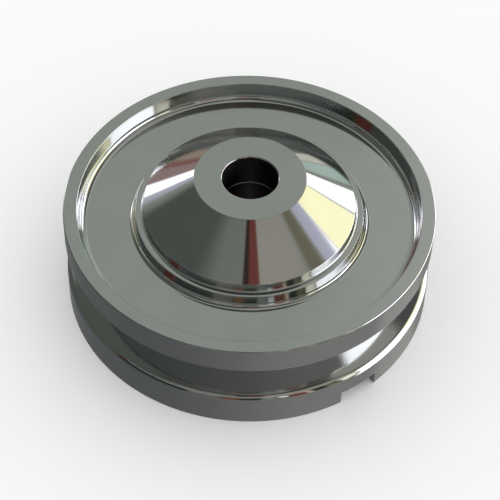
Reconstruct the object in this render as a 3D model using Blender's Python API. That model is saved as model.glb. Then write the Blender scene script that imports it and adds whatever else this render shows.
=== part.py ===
"""Split V-belt pulley: a front half that slides on the spigot of a rear half, with shims between them.

The axis is Z. The origin is the centre of the plane that the rear flange stands on, and +Z points to the
hub's front face. Every turned piece is an outline in the XZ plane, spun about Z.
"""

import math

import bmesh
import bpy
from mathutils import Matrix, Vector

MM = 0.001

# Outer form
RIM_RADIUS = 57.0 * MM  # both flanges
RIM_Z = 34.2 * MM  # front face of the rim
HUB_Z = 46.2 * MM  # front face of the hub, where the shaft's nut bears
HUB_RADIUS = 17.0 * MM
BORE_RADIUS = 8.5 * MM  # a 17 mm shaft

# Front face
RECESS_RADIUS = 52.8 * MM  # at the rim's face
RECESS_FOOT_RADIUS = 51.8 * MM  # both walls of the recess have draft
RECESS_FILLET = 2.3 * MM
WEB_Z = 28.6 * MM
STEP_FOOT_RADIUS = 35.8 * MM
STEP_FILLET = 1.7 * MM
STEP_RADIUS = 35.0 * MM
STEP_Z = 32.25 * MM
STEP_EDGE = 0.25 * MM
LAND_RADIUS = 33.0 * MM
LAND_FILLET = 0.6 * MM
CONE_RADIUS = 32.5 * MM
CONE_Z = 34.7 * MM

# Belt groove
GROOVE_MID_Z = 17.75 * MM
GROOVE_WIDTH = 13.2 * MM  # between the flanks, carried out to the rim's radius
GROOVE_HALF_ANGLE = math.radians(21.0)
GROOVE_LIP = 2.5 * MM  # rounding from flank to rim
GROOVE_ROOT = 0.6 * MM

# Shims on the spigot
SHIM_COUNT = 6
SHIM_THICKNESS = 0.5 * MM
SHIM_RADIUS = 28.0 * MM
SHIM_GAP = 0.08 * MM
FACE_GAP = SHIM_COUNT * SHIM_THICKNESS + (SHIM_COUNT + 1) * SHIM_GAP

# Spigot and the counterbore that it fits
SPIGOT_RADIUS = 13.9 * MM
SPIGOT_Z = 35.0 * MM
FIT_GAP = 0.3 * MM

# Rear half
PLATE = 4.2 * MM
SKIRT_RADIUS = 52.5 * MM  # inside the rear flange
SKIRT_FILLET = 2.5 * MM
BOSS_RADIUS = 16.0 * MM
BOSS_Z = 2.0 * MM
BOSS_FILLET = 2.0 * MM
NOTCH_ANGLE = math.radians(37.2)  # from -Y towards +X
NOTCH_WIDTH = 12.9 * MM
NOTCH_DEPTH = 5.0 * MM
NOTCH_LENGTH = 16.0 * MM  # of the cutter, centred on the rim
KEYWAY_WIDTH = 4.0 * MM
KEYWAY_DEPTH = 2.0 * MM  # outside the bore

EDGE = 0.35 * MM  # broken edges
BORE_EDGE = 0.5 * MM
SHARP = math.radians(30.0)
HALF_SEGMENTS = 72
SHIM_SEGMENTS = 48

FRONT_FACE_Z = GROOVE_MID_Z + FACE_GAP / 2
REAR_FACE_Z = GROOVE_MID_Z - FACE_GAP / 2
FLANK_RISE = math.tan(GROOVE_HALF_ANGLE)
ROOT_RADIUS = RIM_RADIUS - (GROOVE_WIDTH - FACE_GAP) / 2 / FLANK_RISE


def clear_scene():
    for thing in list(bpy.data.objects):
        bpy.data.objects.remove(thing, do_unlink=True)


def metal(name, colour, roughness):
    """A Principled metal."""
    material = bpy.data.materials.new(name)
    material.use_nodes = True
    shader = material.node_tree.nodes["Principled BSDF"]
    shader.inputs["Base Color"].default_value = (*colour, 1.0)
    shader.inputs["Metallic"].default_value = 1.0
    shader.inputs["Roughness"].default_value = roughness
    material.diffuse_color = (*colour, 1.0)
    return material


def rounded(corners):
    """Points of a closed outline of (radius, z, rounding) corners, each rounding an arc."""
    points = []
    for index, (r, z, rounding) in enumerate(corners):
        corner = Vector((r, z))
        if rounding == 0:
            points.append(corner)
            continue
        back = (Vector(corners[index - 1][:2]) - corner).normalized()
        ahead = (Vector(corners[(index + 1) % len(corners)][:2]) - corner).normalized()
        half = back.angle(ahead) / 2
        centre = corner + (back + ahead).normalized() * rounding / math.sin(half)
        start = corner + back * rounding / math.tan(half) - centre
        end = corner + ahead * rounding / math.tan(half) - centre
        turn = start.angle_signed(end)
        steps = 2 if rounding < 1.0 * MM else 5
        for step in range(steps + 1):
            points.append(centre + Matrix.Rotation(-turn * step / steps, 2) @ start)
    return points


def turned(name, corners, segments, material):
    """A solid of revolution: the rounded outline spun about Z."""
    bm = bmesh.new()
    ring = [bm.verts.new((point.x, 0.0, point.y)) for point in rounded(corners)]
    edges = [bm.edges.new((vert, ring[index - 1])) for index, vert in enumerate(ring)]
    bmesh.ops.spin(bm, geom=ring + edges, cent=(0, 0, 0), axis=(0, 0, 1), angle=math.tau,
                   steps=segments, use_merge=True)
    bmesh.ops.recalc_face_normals(bm, faces=bm.faces)
    mesh = bpy.data.meshes.new(name)
    bm.to_mesh(mesh)
    bm.free()
    mesh.materials.append(material)
    mesh.shade_smooth()
    mesh.set_sharp_from_angle(angle=SHARP)
    solid = bpy.data.objects.new(name, mesh)
    bpy.context.collection.objects.link(solid)
    return solid


def cut_box(solid, name, size, centre, angle):
    """Cuts a box out of a solid, turned by an angle about Z."""
    bm = bmesh.new()
    bmesh.ops.create_cube(bm, size=1.0, matrix=Matrix.Diagonal((*size, 1.0)))
    mesh = bpy.data.meshes.new(name)
    bm.to_mesh(mesh)
    bm.free()
    cutter = bpy.data.objects.new(name, mesh)
    bpy.context.collection.objects.link(cutter)
    cutter.rotation_euler.z = angle
    cutter.location = centre
    cutter.hide_render = True
    cutter.display_type = "WIRE"
    cut = solid.modifiers.new(name, "BOOLEAN")
    cut.operation = "DIFFERENCE"
    cut.object = cutter


def front_half(chrome):
    """Hub, cone, stepped boss, recessed web and rim, with the groove's upper flank and the spigot's counterbore."""
    counterbore = SPIGOT_RADIUS + FIT_GAP
    shoulder_z = SPIGOT_Z + FIT_GAP
    return turned("front_sheave_half", [
        (BORE_RADIUS, HUB_Z, BORE_EDGE),
        (HUB_RADIUS, HUB_Z, EDGE),
        (CONE_RADIUS, CONE_Z, EDGE),
        (LAND_RADIUS, STEP_Z, LAND_FILLET),
        (STEP_RADIUS, STEP_Z, STEP_EDGE),
        (STEP_FOOT_RADIUS, WEB_Z, STEP_FILLET),
        (RECESS_FOOT_RADIUS, WEB_Z, RECESS_FILLET),
        (RECESS_RADIUS, RIM_Z, EDGE),
        (RIM_RADIUS, RIM_Z, EDGE),
        (RIM_RADIUS, GROOVE_MID_Z + GROOVE_WIDTH / 2, GROOVE_LIP),
        (ROOT_RADIUS, FRONT_FACE_Z, GROOVE_ROOT),
        (counterbore, FRONT_FACE_Z, 0),
        (counterbore, shoulder_z, 0),
        (BORE_RADIUS, shoulder_z, 0),
    ], HALF_SEGMENTS, chrome)


def rear_half(chrome):
    """Spigot, plate and rear flange, with the groove's lower flank, the notch and the keyway."""
    lip_z = GROOVE_MID_Z - GROOVE_WIDTH / 2
    skirt_z = lip_z + (RIM_RADIUS - SKIRT_RADIUS) * FLANK_RISE - PLATE
    solid = turned("rear_sheave_half", [
        (BORE_RADIUS, SPIGOT_Z, EDGE),
        (SPIGOT_RADIUS, SPIGOT_Z, EDGE),
        (SPIGOT_RADIUS, REAR_FACE_Z, 0),
        (ROOT_RADIUS, REAR_FACE_Z, GROOVE_ROOT),
        (RIM_RADIUS, lip_z, GROOVE_LIP),
        (RIM_RADIUS, 0.0, EDGE),
        (SKIRT_RADIUS, 0.0, EDGE),
        (SKIRT_RADIUS, skirt_z, SKIRT_FILLET),
        (ROOT_RADIUS, REAR_FACE_Z - PLATE, 0),
        (BOSS_RADIUS, REAR_FACE_Z - PLATE, BOSS_FILLET),
        (BOSS_RADIUS, BOSS_Z, EDGE),
        (BORE_RADIUS, BOSS_Z, BORE_EDGE),
    ], HALF_SEGMENTS, chrome)

    outward = Vector((math.sin(NOTCH_ANGLE), -math.cos(NOTCH_ANGLE), 0.0))
    cut_box(solid, "notch_cutter", (NOTCH_WIDTH, NOTCH_LENGTH, 2 * NOTCH_DEPTH),
            outward * RIM_RADIUS, NOTCH_ANGLE)

    keyway_top = BORE_RADIUS + KEYWAY_DEPTH
    cut_box(solid, "keyway_cutter", (KEYWAY_WIDTH, keyway_top, 2 * HUB_Z),
            (0.0, -keyway_top / 2, HUB_Z / 2), 0.0)
    return solid


def shim(index, steel):
    """One flat ring of the stack between the halves."""
    low = REAR_FACE_Z + SHIM_GAP + index * (SHIM_THICKNESS + SHIM_GAP)
    high = low + SHIM_THICKNESS
    inner = SPIGOT_RADIUS + FIT_GAP
    return turned(f"shim_{index + 1}", [
        (inner, high, 0),
        (SHIM_RADIUS, high, 0),
        (SHIM_RADIUS, low, 0),
        (inner, low, 0),
    ], SHIM_SEGMENTS, steel)


def main():
    clear_scene()
    chrome = metal("chrome", (0.56, 0.57, 0.57), 0.08)
    steel = metal("shim_steel", (0.42, 0.42, 0.43), 0.35)
    front_half(chrome)
    rear_half(chrome)
    for index in range(SHIM_COUNT):
        shim(index, steel)


main()
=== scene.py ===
"""Looks of the split V-belt pulley: two chromed halves, steel shims, a plain floor and a soft studio.

The halves are turned again, finer than the frame's, from the same outlines. The shims keep their shapes."""

import math
from collections import namedtuple

import bmesh
import bpy
from mathutils import Euler, Matrix, Quaternion, Vector


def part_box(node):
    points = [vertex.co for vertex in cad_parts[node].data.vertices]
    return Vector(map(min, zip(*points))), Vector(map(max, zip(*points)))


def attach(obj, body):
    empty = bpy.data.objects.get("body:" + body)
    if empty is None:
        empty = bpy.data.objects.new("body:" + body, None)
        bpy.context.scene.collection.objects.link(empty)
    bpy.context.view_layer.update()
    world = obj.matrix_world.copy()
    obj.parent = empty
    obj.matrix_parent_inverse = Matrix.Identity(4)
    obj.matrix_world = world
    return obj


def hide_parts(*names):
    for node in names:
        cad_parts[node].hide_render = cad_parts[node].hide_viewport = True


MM = 0.001

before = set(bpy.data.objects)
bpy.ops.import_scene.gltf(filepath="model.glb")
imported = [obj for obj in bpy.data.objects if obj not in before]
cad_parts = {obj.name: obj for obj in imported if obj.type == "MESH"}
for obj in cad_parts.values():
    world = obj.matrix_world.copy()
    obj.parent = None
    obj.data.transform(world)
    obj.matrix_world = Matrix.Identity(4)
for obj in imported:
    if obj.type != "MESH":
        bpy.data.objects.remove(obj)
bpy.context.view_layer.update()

# Outer form, as in the frame
SHIM_GAP = 0.08 * MM
RIM_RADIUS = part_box("front_sheave_half")[1].x
HUB_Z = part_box("front_sheave_half")[1].z
SPIGOT_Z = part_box("rear_sheave_half")[1].z
REAR_FACE_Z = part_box("shim_1")[0].z - SHIM_GAP
FRONT_FACE_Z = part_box("shim_6")[1].z + SHIM_GAP
RIM_Z = 34.2 * MM
HUB_RADIUS = 17.0 * MM
BORE_RADIUS = 8.5 * MM

# Front face
RECESS_RADIUS = 52.8 * MM  # at the rim's face
RECESS_FOOT_RADIUS = 51.8 * MM  # both walls of the recess have draft
RECESS_FILLET = 2.3 * MM
WEB_Z = 28.6 * MM
STEP_FOOT_RADIUS = 35.8 * MM
STEP_FILLET = 1.7 * MM
STEP_RADIUS = 35.0 * MM
STEP_Z = 32.25 * MM
STEP_EDGE = 0.25 * MM
LAND_RADIUS = 33.0 * MM
LAND_FILLET = 0.6 * MM
CONE_RADIUS = 32.5 * MM
CONE_Z = 34.7 * MM

# Belt groove
GROOVE_WIDTH = 13.2 * MM  # between the flanks, carried out to the rim's radius
GROOVE_HALF_ANGLE = math.radians(21.0)
GROOVE_LIP = 2.5 * MM
GROOVE_ROOT = 0.6 * MM
GROOVE_MID_Z = (FRONT_FACE_Z + REAR_FACE_Z) / 2
FLANK_RISE = math.tan(GROOVE_HALF_ANGLE)
ROOT_RADIUS = RIM_RADIUS - (GROOVE_WIDTH - FRONT_FACE_Z + REAR_FACE_Z) / 2 / FLANK_RISE

# Rear half
SPIGOT_RADIUS = 13.9 * MM
FIT_GAP = 0.3 * MM
PLATE = 4.2 * MM
SKIRT_RADIUS = 52.5 * MM  # inside the rear flange
SKIRT_FILLET = 2.5 * MM
BOSS_RADIUS = 16.0 * MM
BOSS_Z = 2.0 * MM
BOSS_FILLET = 2.0 * MM
NOTCH_ANGLE = math.radians(37.2)  # from -Y towards +X
NOTCH_WIDTH = 12.9 * MM
NOTCH_DEPTH = 5.0 * MM
NOTCH_LENGTH = 16.0 * MM  # of the cutter, centred on the rim
KEYWAY_WIDTH = 4.0 * MM
KEYWAY_DEPTH = 2.0 * MM  # outside the bore

EDGE = 0.35 * MM  # broken edges
BORE_EDGE = 0.5 * MM
SHARP = math.radians(35.0)
SEGMENTS = 360
ARC_STEP = math.radians(7.5)  # between the points of a rounding

# Camera, from the centre of the rim's front plane
VIEW_ELEVATION = math.radians(47.82)
VIEW_DISTANCE = 9.268 * RIM_RADIUS
VIEW_ROLL = math.radians(1.52)
VIEW_PITCH = math.radians(-1.5206)
VIEW_PAN = math.radians(-0.0149)
LENS = 124.2
SENSOR = 36.0

# Surfaces, in linear light
CHROME_COLOUR = (0.56, 0.57, 0.57)
DULL_COLOUR = (0.45, 0.46, 0.47)
# Bare steel of the bore and fits, painted near-black with a purple tint: painted shade standing in for the
# shade deep in the bore.
BARE_STEEL_AND_SHADE_COLOUR = (0.12, 0.10, 0.11)
STEEL_COLOUR = (0.42, 0.42, 0.43)
FLOOR_COLOUR = (0.9, 0.9, 0.9)
FLOOR_HALF = 3.0  # metres, from the axis to the floor's edge

# ---------------------------------------------------------------- nodes


def node(tree, kind, **settings):
    """A new shader node with its properties set."""
    made = tree.nodes.new(kind)
    for name, value in settings.items():
        setattr(made, name, value)
    return made


def math_node(tree, operation, *values):
    """A Math node's output, its inputs linked to sockets or set to numbers."""
    made = node(tree, "ShaderNodeMath", operation=operation)
    for into, value in zip(made.inputs, values):
        if isinstance(value, bpy.types.NodeSocket):
            tree.links.new(value, into)
        else:
            into.default_value = value
    return made.outputs[0]


def ramp_node(tree, value, low, high, to_low=0.0, to_high=1.0):
    """A smooth step of a value from one level to another."""
    made = node(tree, "ShaderNodeMapRange", interpolation_type="SMOOTHSTEP")
    tree.links.new(value, made.inputs["Value"])
    made.inputs["From Min"].default_value = low
    made.inputs["From Max"].default_value = high
    made.inputs["To Min"].default_value = to_low
    made.inputs["To Max"].default_value = to_high
    return made.outputs["Result"]


def mix_colours(tree, factor, first, second):
    """A colour between two, each a socket or a tuple."""
    made = node(tree, "ShaderNodeMix", data_type="RGBA")
    tree.links.new(factor, made.inputs[0])
    for into, value in ((made.inputs[6], first), (made.inputs[7], second)):
        if isinstance(value, bpy.types.NodeSocket):
            tree.links.new(value, into)
        else:
            into.default_value = (*value, 1.0)
    return made.outputs[2]


def new_material(name):
    """A material with a Principled shader, and its tree."""
    material = bpy.data.materials.new(name)
    material.use_nodes = True
    return material, material.node_tree, material.node_tree.nodes["Principled BSDF"]


def turning_coordinates(tree):
    """A point's place, its distance from the axis and its height, in metres."""
    place = node(tree, "ShaderNodeTexCoord").outputs["Object"]
    parts = node(tree, "ShaderNodeSeparateXYZ")
    tree.links.new(place, parts.inputs[0])
    flat = node(tree, "ShaderNodeVectorMath", operation="MULTIPLY")
    tree.links.new(place, flat.inputs[0])
    flat.inputs[1].default_value = (1.0, 1.0, 0.0)
    radius = node(tree, "ShaderNodeVectorMath", operation="LENGTH")
    tree.links.new(flat.outputs[0], radius.inputs[0])
    return place, radius.outputs["Value"], parts.outputs["Z"]


# ---------------------------------------------------------------- materials


def turned_metal(name, colour, roughness, anisotropy, mark_depth):
    """Metal with lathe marks round the axis, which smear reflections along the outline."""
    material, tree, shader = new_material(name)
    place, radius, height = turning_coordinates(tree)

    marks = node(tree, "ShaderNodeTexNoise", noise_dimensions="2D")
    across = node(tree, "ShaderNodeCombineXYZ")
    tree.links.new(radius, across.inputs[0])
    tree.links.new(height, across.inputs[1])
    tree.links.new(across.outputs[0], marks.inputs["Vector"])
    marks.inputs["Scale"].default_value = 2600.0
    marks.inputs["Detail"].default_value = 2.0
    marks.inputs["Roughness"].default_value = 0.6

    haze = node(tree, "ShaderNodeTexNoise")
    tree.links.new(place, haze.inputs["Vector"])
    haze.inputs["Scale"].default_value = 70.0
    haze.inputs["Detail"].default_value = 3.0

    bump = node(tree, "ShaderNodeBump")
    bump.inputs["Strength"].default_value = 1.0
    bump.inputs["Distance"].default_value = mark_depth
    tree.links.new(marks.outputs["Fac"], bump.inputs["Height"])
    tree.links.new(bump.outputs["Normal"], shader.inputs["Normal"])

    tangent = node(tree, "ShaderNodeTangent", direction_type="RADIAL", axis="Z")
    tree.links.new(tangent.outputs[0], shader.inputs["Tangent"])
    shader.inputs["Metallic"].default_value = 1.0
    shader.inputs["Anisotropic"].default_value = anisotropy
    shader.inputs["Anisotropic Rotation"].default_value = 0.25

    smudge = ramp_node(tree, haze.outputs["Fac"], 0.35, 0.7)
    rough = ramp_node(tree, haze.outputs["Fac"], 0.3, 0.75, roughness * 0.92, roughness * 1.12)
    tree.links.new(rough, shader.inputs["Roughness"])
    dull = tuple(channel * 0.95 for channel in colour)
    tree.links.new(mix_colours(tree, smudge, colour, dull), shader.inputs["Base Color"])
    return material


# ---------------------------------------------------------------- turned halves


def rounded(corners):
    """Points and finishes of a closed outline of (radius, z, rounding, finish) corners.

    Each rounding is an arc. A finish holds from its corner to the next one."""
    points = []
    for index, (r, z, rounding, finish) in enumerate(corners):
        corner = Vector((r, z))
        if rounding == 0:
            points.append((corner, finish))
            continue
        back = (Vector(corners[index - 1][:2]) - corner).normalized()
        ahead = (Vector(corners[(index + 1) % len(corners)][:2]) - corner).normalized()
        half = back.angle(ahead) / 2
        centre = corner + (back + ahead).normalized() * rounding / math.sin(half)
        start = corner + back * rounding / math.tan(half) - centre
        end = corner + ahead * rounding / math.tan(half) - centre
        turn = start.angle_signed(end)
        steps = max(3, math.ceil(abs(turn) / ARC_STEP))
        for step in range(steps + 1):
            points.append((centre + Matrix.Rotation(-turn * step / steps, 2) @ start, finish))
    return points


def turned(name, corners, materials):
    """A solid of revolution with a material for each finish of its outline."""
    outline = rounded(corners)
    finishes = list(materials)
    bm = bmesh.new()
    rings = []
    for step in range(SEGMENTS):
        angle = math.tau * step / SEGMENTS
        rings.append([
            bm.verts.new((point.x * math.cos(angle), point.x * math.sin(angle), point.y))
            for point, _ in outline
        ])
    for step in range(SEGMENTS):
        here, there = rings[step], rings[(step + 1) % SEGMENTS]
        for index, (_, finish) in enumerate(outline):
            after = (index + 1) % len(outline)
            face = bm.faces.new((here[index], there[index], there[after], here[after]))
            face.material_index = finishes.index(finish)
    bmesh.ops.recalc_face_normals(bm, faces=bm.faces)
    mesh = bpy.data.meshes.new(name)
    bm.to_mesh(mesh)
    bm.free()
    for material in materials.values():
        mesh.materials.append(material)
    mesh.shade_smooth()
    mesh.set_sharp_from_angle(angle=SHARP)
    solid = bpy.data.objects.new(name, mesh)
    bpy.context.collection.objects.link(solid)
    return solid


def cut_box(solid, size, centre, angle):
    """Cuts a box out of a solid, turned by an angle about Z."""
    bm = bmesh.new()
    bmesh.ops.create_cube(bm, size=1.0, matrix=Matrix.Diagonal((*size, 1.0)))
    bmesh.ops.rotate(bm, verts=bm.verts, matrix=Matrix.Rotation(angle, 3, "Z"))
    bmesh.ops.translate(bm, verts=bm.verts, vec=centre)
    mesh = bpy.data.meshes.new("cutter")
    bm.to_mesh(mesh)
    bm.free()
    cutter = bpy.data.objects.new("cutter", mesh)
    bpy.context.collection.objects.link(cutter)
    cut = solid.modifiers.new("cut", "BOOLEAN")
    cut.operation = "DIFFERENCE"
    cut.object = cutter
    bpy.context.view_layer.update()
    graph = bpy.context.evaluated_depsgraph_get()
    cut_mesh = bpy.data.meshes.new_from_object(solid.evaluated_get(graph), depsgraph=graph)
    solid.modifiers.remove(cut)
    solid.data = cut_mesh
    bpy.data.objects.remove(cutter)


def settle_normals(solid):
    """Keeps flats flat where they run into a rounding."""
    weigh = solid.modifiers.new("weighted_normals", "WEIGHTED_NORMAL")
    weigh.mode = "FACE_AREA"
    weigh.weight = 100
    weigh.keep_sharp = True


def front_half(finishes):
    """Hub, cone, stepped boss, web and rim, with the groove's upper flank and the spigot's counterbore."""
    counterbore = SPIGOT_RADIUS + FIT_GAP
    shoulder_z = SPIGOT_Z + FIT_GAP
    return turned("front_half_chrome", [
        (BORE_RADIUS, HUB_Z, BORE_EDGE, "chrome"),
        (HUB_RADIUS, HUB_Z, EDGE, "chrome"),
        (CONE_RADIUS, CONE_Z, EDGE, "chrome"),
        (LAND_RADIUS, STEP_Z, LAND_FILLET, "chrome"),
        (STEP_RADIUS, STEP_Z, STEP_EDGE, "chrome"),
        (STEP_FOOT_RADIUS, WEB_Z, STEP_FILLET, "chrome"),
        (RECESS_FOOT_RADIUS, WEB_Z, RECESS_FILLET, "chrome"),
        (RECESS_RADIUS, RIM_Z, EDGE, "chrome"),
        (RIM_RADIUS, RIM_Z, EDGE, "chrome"),
        (RIM_RADIUS, GROOVE_MID_Z + GROOVE_WIDTH / 2, GROOVE_LIP, "chrome"),
        (ROOT_RADIUS, FRONT_FACE_Z, GROOVE_ROOT, "dull"),
        (counterbore, FRONT_FACE_Z, 0, "bare_and_shaded"),
        (counterbore, shoulder_z, 0, "bare_and_shaded"),
        (BORE_RADIUS, shoulder_z, 0, "bare_and_shaded"),
    ], finishes)


def rear_half(finishes):
    """Spigot, plate and rear flange, with the groove's lower flank, the notch and the keyway."""
    lip_z = GROOVE_MID_Z - GROOVE_WIDTH / 2
    skirt_z = lip_z + (RIM_RADIUS - SKIRT_RADIUS) * FLANK_RISE - PLATE
    solid = turned("rear_half_chrome", [
        (BORE_RADIUS, SPIGOT_Z, EDGE, "dull"),
        (SPIGOT_RADIUS, SPIGOT_Z, EDGE, "bare_and_shaded"),
        (SPIGOT_RADIUS, REAR_FACE_Z, 0, "dull"),
        (ROOT_RADIUS, REAR_FACE_Z, GROOVE_ROOT, "chrome"),
        (RIM_RADIUS, lip_z, GROOVE_LIP, "chrome"),
        (RIM_RADIUS, 0.0, EDGE, "chrome"),
        (SKIRT_RADIUS, 0.0, EDGE, "dull"),
        (SKIRT_RADIUS, skirt_z, SKIRT_FILLET, "dull"),
        (ROOT_RADIUS, REAR_FACE_Z - PLATE, 0, "dull"),
        (BOSS_RADIUS, REAR_FACE_Z - PLATE, BOSS_FILLET, "dull"),
        (BOSS_RADIUS, BOSS_Z, EDGE, "dull"),
        (BORE_RADIUS, BOSS_Z, BORE_EDGE, "bare_and_shaded"),
    ], finishes)
    outward = Vector((math.sin(NOTCH_ANGLE), -math.cos(NOTCH_ANGLE), 0.0))
    cut_box(solid, (NOTCH_WIDTH, NOTCH_LENGTH, 2 * NOTCH_DEPTH), outward * RIM_RADIUS, NOTCH_ANGLE)
    keyway_top = BORE_RADIUS + KEYWAY_DEPTH
    cut_box(solid, (KEYWAY_WIDTH, keyway_top, 2 * HUB_Z), (0.0, -keyway_top / 2, HUB_Z / 2), 0.0)
    return solid


# ---------------------------------------------------------------- studio

Panel = namedtuple("Panel", "name azimuth elevation width height edge colour")

# Directions in degrees: azimuth from the camera's side towards +X, elevation above the horizon.
# Colours are linear light. Each panel is laid over those before it.
PANELS = [
    Panel("floor_light", 116, -32, 44, 64, 16, (0.42, 0.42, 0.40)),
    Panel("far_wall", 178, 50, 70, 76, 16, (0.40, 0.43, 0.39)),
    Panel("far_wall_light", 162, 46, 20, 30, 14, (0.62, 0.63, 0.58)),
    Panel("low_front", -8, 19, 126, 38, 5, (0.035, 0.045, 0.035)),
    Panel("low_olive_left", -90, 14, 20, 30, 5, (0.10, 0.11, 0.08)),
    Panel("low_red_left", -73, 29.5, 13, 8, 3, (0.15, 0.04, 0.03)),
    Panel("low_grey", -21, 19, 17, 38, 4, (0.20, 0.18, 0.17)),
    Panel("low_orange", -7, 19, 8, 38, 3, (0.22, 0.09, 0.04)),
    Panel("low_green", 13, 19, 8, 38, 3, (0.26, 0.30, 0.26)),
    Panel("low_white", 20.5, 19, 5, 16, 2, (1.3, 1.3, 1.3)),
    Panel("low_red", 28, 19, 9, 38, 2, (0.22, 0.06, 0.05)),
    Panel("low_pink", 34.5, 19, 3, 38, 2, (0.80, 0.60, 0.45)),
    Panel("low_dark_green", 47, 19, 6, 38, 3, (0.20, 0.21, 0.12)),
    Panel("low_beige", 56.5, 15, 8.5, 37, 2, (1.45, 1.40, 1.15)),
    Panel("near_wall_left", -18, 50, 60, 26, 34, (0.25, 0.265, 0.235)),
    Panel("near_wall_right", 38, 50, 52, 26, 4, (0.42, 0.40, 0.35)),
    Panel("dim_corner_right", 76, 46, 14, 26, 6, (0.21, 0.20, 0.14)),
    Panel("ceiling_beam", 0, 70, 180, 16, 4, (0.08, 0.08, 0.07)),
    Panel("shelf_line", -17, 33.5, 105, 2.5, 1, (0.9, 0.9, 0.95)),
    Panel("camera_shadow", -2, 57, 8, 13, 1.5, (0.045, 0.03, 0.025)),
    Panel("red_sleeve", 8, 57, 13, 13, 2, (0.20, 0.06, 0.05)),
    Panel("window_lintel", 124, 43, 70, 12, 4, (0.10, 0.10, 0.10)),
    Panel("left_corner", -128.5, 14, 9, 44, 8, (0.32, 0.34, 0.31)),
    Panel("door_glow", -132.5, 8, 5, 50, 4, (0.62, 0.64, 0.74)),
    Panel("door_left", -138.2, 4, 7.5, 52, 1.5, (2.4, 2.4, 2.5)),
    Panel("red_curtain", -146.5, 0, 10, 40, 3, (0.38, 0.27, 0.26)),
    Panel("red_fold", -152.5, 0, 5, 40, 3, (0.29, 0.14, 0.13)),
    Panel("tan_curtain", -158.5, 0, 8, 40, 4, (0.40, 0.30, 0.24)),
    Panel("mint_board", 149.5, 0, 9.5, 40, 1.5, (0.56, 0.70, 0.63)),
    Panel("beige_board", 158, 0, 6.5, 46, 1.5, (0.76, 0.74, 0.63)),
    Panel("dark_gap", 166, 0, 8, 60, 3, (0.22, 0.24, 0.20)),
]
WINDOW_PANELS = [
    Panel("window", 101.8, 0, 78.5, 66.8, 1.5, (3.2, 3.2, 3.3)),
    Panel("cream_blind", 113, 24.2, 28, 18.4, 1.5, (1.75, 1.68, 1.05)),
    Panel("window_bar", 127.3, 0, 1.5, 70, 1, (0.5, 0.5, 0.5)),
    Panel("blind_edge", 98.6, 0, 0.8, 70, 1, (0.6, 0.5, 0.6)),
    Panel("blue_sheer", 92, 37, 14, 9, 4, (0.62, 0.62, 0.76)),
]
WINDOW_AZIMUTH = 90.0

# The rest of the room, darkest at -X and lightest at +X
GROUND_DARK = (0.13, 0.135, 0.14)
GROUND_LIGHT = (0.29, 0.29, 0.28)
AIR_DARK = (0.105, 0.12, 0.105)
AIR_LIGHT = (0.38, 0.38, 0.34)
GROUND_TOP = -20.0  # degrees, where the ground starts to fade into the air
AIR_BOTTOM = -4.0
EVEN_LIGHT = (1.08, 1.08, 1.08)


def direction_angles(tree):
    """Azimuth and elevation of the world's direction, in degrees."""
    direction = node(tree, "ShaderNodeTexCoord").outputs["Generated"]
    parts = node(tree, "ShaderNodeSeparateXYZ")
    tree.links.new(direction, parts.inputs[0])
    toward_camera = math_node(tree, "MULTIPLY", parts.outputs["Y"], -1.0)
    azimuth = math_node(tree, "ARCTAN2", parts.outputs["X"], toward_camera)
    elevation = math_node(tree, "ARCSINE", parts.outputs["Z"])
    return math_node(tree, "DEGREES", azimuth), math_node(tree, "DEGREES", elevation)


def elevation_from_wall(tree, azimuth, elevation):
    """Elevation as seen square to the window's wall, so that level edges stay level on it."""
    turn = math_node(tree, "RADIANS", math_node(tree, "SUBTRACT", azimuth, WINDOW_AZIMUTH))
    slope = math_node(tree, "TANGENT", math_node(tree, "RADIANS", elevation))
    toward = math_node(tree, "MAXIMUM", math_node(tree, "COSINE", turn), 0.001)
    square_on = math_node(tree, "ARCTANGENT", math_node(tree, "DIVIDE", slope, toward))
    return math_node(tree, "DEGREES", square_on)


def panel_mask(tree, azimuth, elevation, panel):
    """1 inside a soft-edged panel of the studio, 0 outside it."""
    turn = math_node(tree, "SUBTRACT", azimuth, float(panel.azimuth))
    turn = math_node(tree, "WRAP", turn, 180.0, -180.0)
    turn = math_node(tree, "ABSOLUTE", turn)
    rise = math_node(tree, "SUBTRACT", elevation, float(panel.elevation))
    rise = math_node(tree, "ABSOLUTE", rise)
    masks = []
    for distance, size in ((turn, panel.width), (rise, panel.height)):
        masks.append(ramp_node(tree, distance, (size - panel.edge) / 2, (size + panel.edge) / 2, 1.0, 0.0))
    return math_node(tree, "MULTIPLY", *masks)


def studio_world():
    """A room of soft panels that only the metal mirrors. Everything else has even white light."""
    world = bpy.data.worlds.new("studio")
    bpy.context.scene.world = world
    world.use_nodes = True
    world.cycles.sampling_method = "NONE"
    tree = world.node_tree
    tree.nodes.clear()
    azimuth, elevation = direction_angles(tree)

    side = math_node(tree, "SINE", math_node(tree, "RADIANS", azimuth))
    lightness = ramp_node(tree, side, -1.0, 1.0)
    ground = mix_colours(tree, lightness, GROUND_DARK, GROUND_LIGHT)
    air = mix_colours(tree, lightness, AIR_DARK, AIR_LIGHT)
    studio = mix_colours(tree, ramp_node(tree, elevation, GROUND_TOP, AIR_BOTTOM), ground, air)
    for panel in PANELS:
        studio = mix_colours(tree, panel_mask(tree, azimuth, elevation, panel), studio, panel.colour)
    square_on = elevation_from_wall(tree, azimuth, elevation)
    for panel in WINDOW_PANELS:
        studio = mix_colours(tree, panel_mask(tree, azimuth, square_on, panel), studio, panel.colour)

    path = node(tree, "ShaderNodeLightPath")
    shown = mix_colours(tree, path.outputs["Is Glossy Ray"], EVEN_LIGHT, studio)
    background = node(tree, "ShaderNodeBackground")
    tree.links.new(shown, background.inputs["Color"])
    output = node(tree, "ShaderNodeOutputWorld")
    tree.links.new(background.outputs[0], output.inputs["Surface"])


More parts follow.
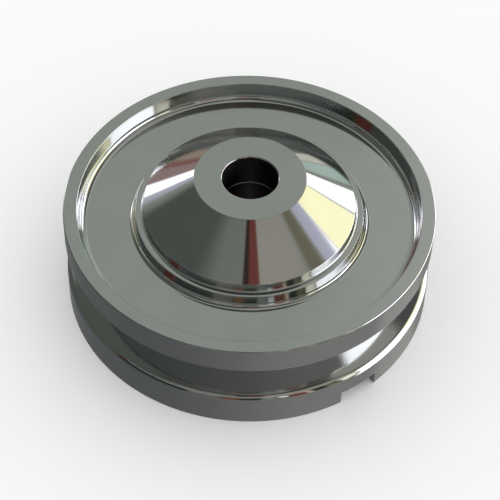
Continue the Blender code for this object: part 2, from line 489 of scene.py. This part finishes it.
def pale_floor():
    """A plain floor, which the metal doesn't mirror and which is clear from below."""
    half = FLOOR_HALF
    corners = [(-half, -half, 0), (half, -half, 0), (half, half, 0), (-half, half, 0)]
    mesh = bpy.data.meshes.new("floor")
    mesh.from_pydata(corners, [], [(0, 1, 2, 3)])
    floor = bpy.data.objects.new("floor", mesh)
    bpy.context.collection.objects.link(floor)
    material, tree, shader = new_material("pale_floor")
    shader.inputs["Base Color"].default_value = (*FLOOR_COLOUR, 1.0)
    shader.inputs["Roughness"].default_value = 1.0
    shader.inputs["Specular IOR Level"].default_value = 0.0
    clear = node(tree, "ShaderNodeBsdfTransparent")
    side = node(tree, "ShaderNodeNewGeometry")
    choice = node(tree, "ShaderNodeMixShader")
    tree.links.new(side.outputs["Backfacing"], choice.inputs[0])
    tree.links.new(shader.outputs[0], choice.inputs[1])
    tree.links.new(clear.outputs[0], choice.inputs[2])
    tree.links.new(choice.outputs[0], tree.nodes["Material Output"].inputs["Surface"])
    mesh.materials.append(material)
    floor.visible_glossy = False


def camera():
    """The photograph's viewpoint."""
    back = Vector((0.0, -math.cos(VIEW_ELEVATION), math.sin(VIEW_ELEVATION)))
    data = bpy.data.cameras.new("camera")
    data.lens = LENS
    data.sensor_width = SENSOR
    made = bpy.data.objects.new("camera", data)
    bpy.context.collection.objects.link(made)
    made.rotation_mode = "QUATERNION"
    made.location = Vector((0.0, 0.0, RIM_Z)) + back * VIEW_DISTANCE
    roll = Quaternion((0.0, 0.0, 1.0), VIEW_ROLL)
    aim = Euler((VIEW_PITCH, VIEW_PAN, 0.0)).to_quaternion()
    made.rotation_quaternion = back.to_track_quat("Z", "Y") @ roll @ aim
    bpy.context.scene.camera = made


# ---------------------------------------------------------------- scene


def main():
    finishes = {
        "chrome": turned_metal("chrome", CHROME_COLOUR, roughness=0.085, anisotropy=0.5, mark_depth=0.03e-6),
        "dull": turned_metal("dull_plate", DULL_COLOUR, roughness=0.35, anisotropy=0.7, mark_depth=2.0e-6),
        # The bare finish is painted near-black: painted shade for the inside of the bore, not the steel's
        # own colour.
        "bare_and_shaded": turned_metal("bare_bore_and_shade", BARE_STEEL_AND_SHADE_COLOUR, roughness=0.4, anisotropy=0.5, mark_depth=2.0e-6),
    }
    front = front_half(finishes)
    rear = rear_half(finishes)
    for piece, body, cad in ((front, "front", "front_sheave_half"), (rear, "rear", "rear_sheave_half")):
        settle_normals(piece)
        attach(piece, body)
        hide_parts(cad)

    steel = turned_metal("shim_steel", STEEL_COLOUR, roughness=0.3, anisotropy=0.8, mark_depth=1.0e-6)
    for name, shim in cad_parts.items():
        if name.startswith("shim_"):
            shim.material_slots[0].material = steel

    camera()
    pale_floor()
    studio_world()
    bpy.context.scene.view_settings.view_transform = "Standard"


main()
